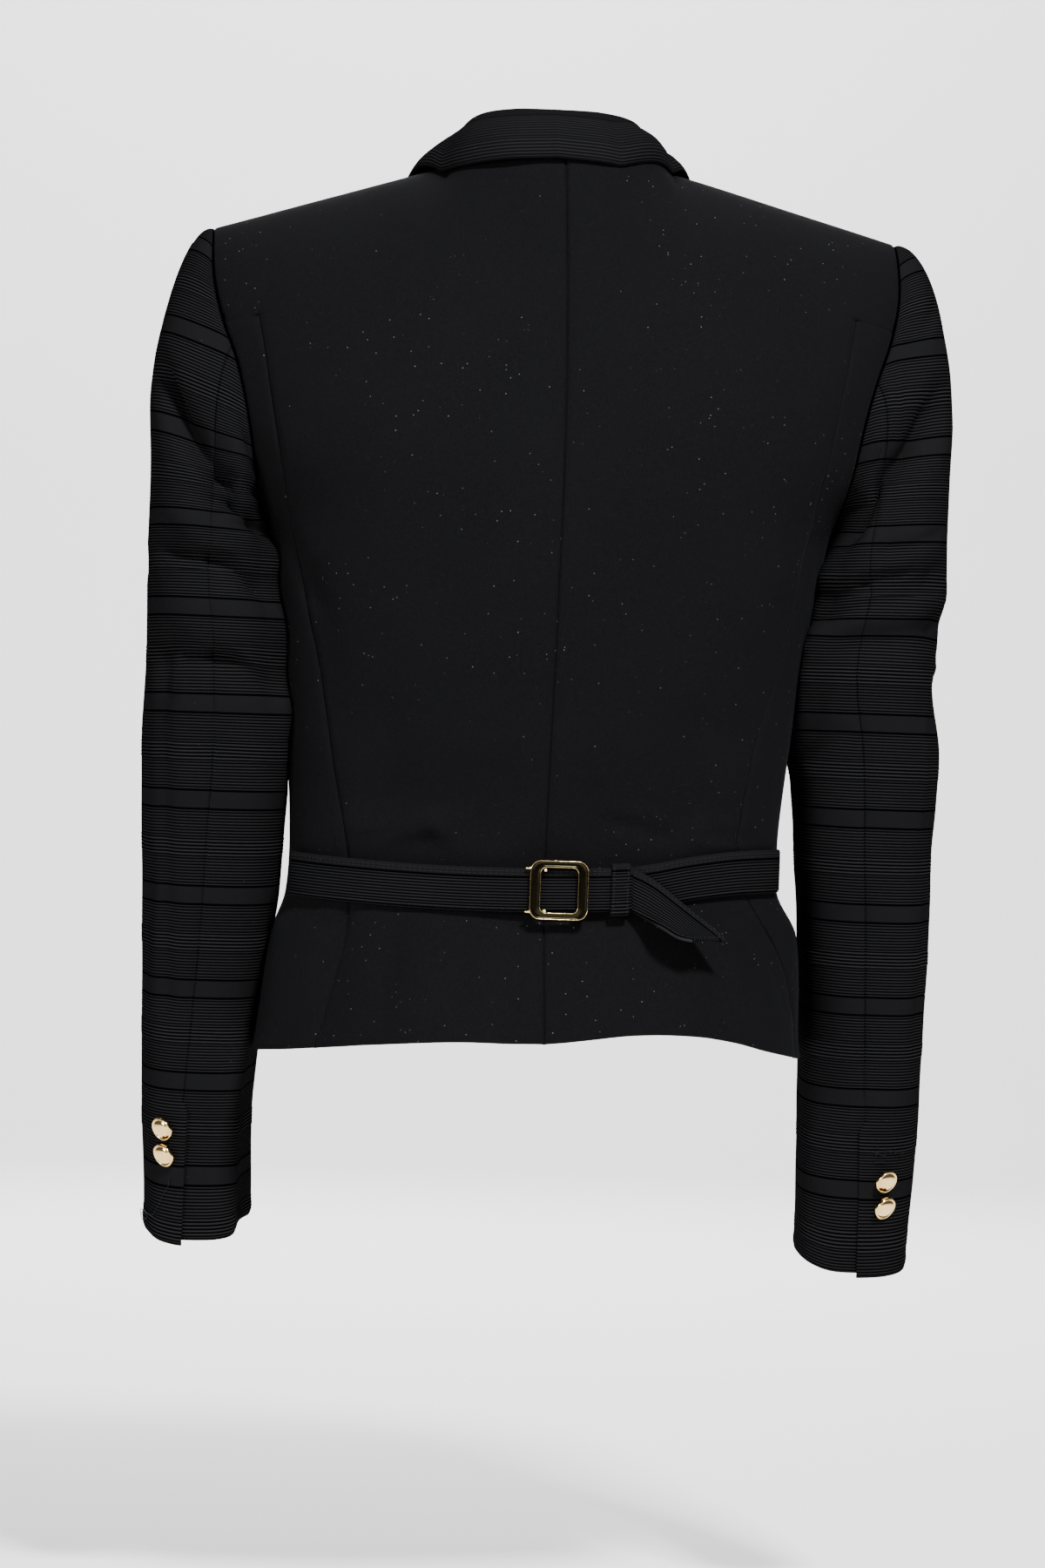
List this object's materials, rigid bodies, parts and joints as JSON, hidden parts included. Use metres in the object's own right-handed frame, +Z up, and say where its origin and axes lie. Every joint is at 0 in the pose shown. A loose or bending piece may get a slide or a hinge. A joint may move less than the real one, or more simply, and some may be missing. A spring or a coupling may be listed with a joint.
{
  "type": "cropped blazer",
  "caption": "Cropped tailored blazer in its worn form, ribbed sleeves and collar on a plain crepe body, half belt with a square buckle at the back waist, gold cuff buttons",
  "frame": {"origin": "the middle of the neck, between the shoulders, where the wearer's neck and shoulders hold the garment up", "axes": "+Z up, the front faces -Y, the wearer's left is +X"},
  "size_m": [0.4821, 0.2685, 0.6821],
  "materials": {
    "crepe": "matt near-black wool crepe with fine pale lint",
    "ribbed_cloth": "black ottoman, ribbed in groups with smooth satin bands between, soft sheen",
    "buckle_metal": "dark olive-gold metal with polished gold edges",
    "gold_metal": "polished gold, rimmed and domed"
  },
  "bodies": {
    "root": {"back_left": "crepe", "back_right": "crepe", "side_left": "crepe", "side_right": "crepe", "front_left": "crepe", "front_right": "crepe", "lapel_left": "ribbed_cloth", "lapel_right": "ribbed_cloth", "collar": "ribbed_cloth", "sleeve_top_left": "ribbed_cloth", "sleeve_under_left": "ribbed_cloth", "sleeve_top_right": "ribbed_cloth", "sleeve_under_right": "ribbed_cloth", "belt_strap_left": "ribbed_cloth", "belt_strap_right": "ribbed_cloth", "belt_keeper": "ribbed_cloth", "buckle_frame": "buckle_metal", "cuff_button_left_1": "gold_metal", "cuff_button_left_2": "gold_metal", "cuff_button_right_1": "gold_metal", "cuff_button_right_2": "gold_metal", "front_button_1": "gold_metal", "front_button_2": "gold_metal"}
  },
  "joints": []
}
